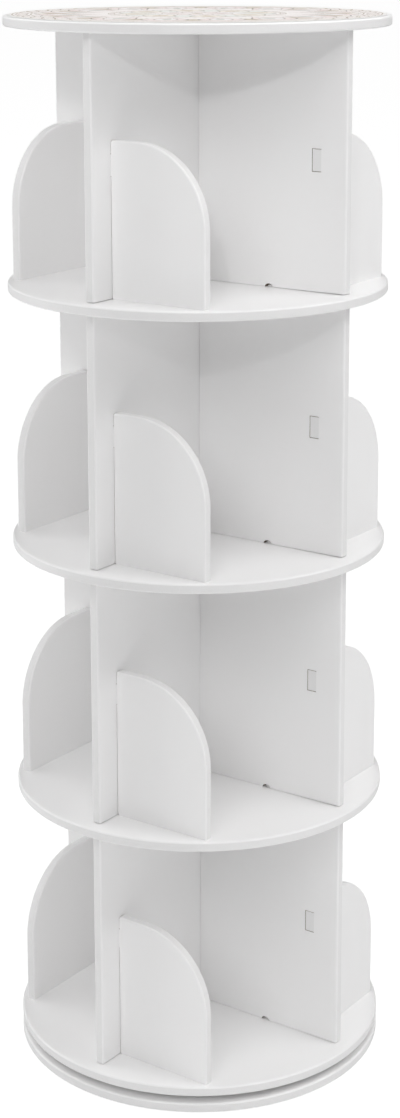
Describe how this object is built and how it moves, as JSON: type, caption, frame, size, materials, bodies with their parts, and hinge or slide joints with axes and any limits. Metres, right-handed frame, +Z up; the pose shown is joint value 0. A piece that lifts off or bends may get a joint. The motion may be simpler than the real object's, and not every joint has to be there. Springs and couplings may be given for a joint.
{
  "type": "revolving bookcase",
  "caption": "Tall round revolving bookcase of white board: open tiers with crossed walls and round-cornered book stops, turning on a ball-bearing turntable over a fixed base.",
  "frame": {"origin": "on the floor at the centre of the base, on the axis that the shelves turn about", "axes": "+Z up along the axis of rotation; +X and +Y along the crossed walls at rest"},
  "size_m": [0.46, 0.46, 1.301],
  "materials": {
    "white_board": "white satin lacquer",
    "printed_film": "printed film, satin",
    "turntable_aluminium": "natural",
    "bearing_steel": "polished",
    "screw_zinc": "zinc plated",
    "foot_rubber": "matt"
  },
  "bodies": {
    "base": {"base_board": "white_board", "turntable_base_ring": "turntable_aluminium", "foot_1": "foot_rubber", "foot_2": "foot_rubber", "foot_3": "foot_rubber", "foot_4": "foot_rubber", "foot_5": "foot_rubber", "foot_6": "foot_rubber"},
    "ball_cage": {"turntable_ball_cage": "bearing_steel"},
    "carousel": {"turntable_top_ring": "turntable_aluminium", "shelf_1": "white_board", "shelf_2": "white_board", "shelf_3": "white_board", "shelf_4": "white_board", "top_board": "white_board", "top_print": "printed_film", "tier_1_wall_x": "white_board", "tier_1_wall_y": "white_board", "tier_2_wall_x": "white_board", "tier_2_wall_y": "white_board", "tier_3_wall_x": "white_board", "tier_3_wall_y": "white_board", "tier_4_wall_x": "white_board", "tier_4_wall_y": "white_board", "tier_1_stop_a": "white_board", "tier_1_stop_b": "white_board", "tier_1_stop_c": "white_board", "tier_1_stop_d": "white_board", "tier_2_stop_a": "white_board", "tier_2_stop_b": "white_board", "tier_2_stop_c": "white_board", "tier_2_stop_d": "white_board", "tier_3_stop_a": "white_board", "tier_3_stop_b": "white_board", "tier_3_stop_c": "white_board", "tier_3_stop_d": "white_board", "tier_4_stop_a": "white_board", "tier_4_stop_b": "white_board", "tier_4_stop_c": "white_board", "tier_4_stop_d": "white_board", "shelf_1_screw_a": "screw_zinc", "shelf_1_screw_b": "screw_zinc", "shelf_1_screw_c": "screw_zinc", "shelf_1_screw_d": "screw_zinc", "shelf_2_screw_a": "screw_zinc", "shelf_2_screw_b": "screw_zinc", "shelf_2_screw_c": "screw_zinc", "shelf_2_screw_d": "screw_zinc", "shelf_3_screw_a": "screw_zinc", "shelf_3_screw_b": "screw_zinc", "shelf_3_screw_c": "screw_zinc", "shelf_3_screw_d": "screw_zinc", "shelf_4_screw_a": "screw_zinc", "shelf_4_screw_b": "screw_zinc", "shelf_4_screw_c": "screw_zinc", "shelf_4_screw_d": "screw_zinc", "top_screw_a": "screw_zinc", "top_screw_b": "screw_zinc", "top_screw_c": "screw_zinc", "top_screw_d": "screw_zinc"}
  },
  "joints": [
    {"name": "carousel_spin", "type": "hinge", "parent": "base", "child": "carousel", "pos_m": [0, 0, 0.01955], "axis": [0, 0, 1], "continuous": true},
    {"name": "cage_spin", "type": "hinge", "parent": "base", "child": "ball_cage", "pos_m": [0, 0, 0.01955], "axis": [0, 0, 1], "continuous": true}
  ],
  "couplings": [
    {"joint": "cage_spin", "follows": "carousel_spin", "ratio": 0.513}
  ]
}
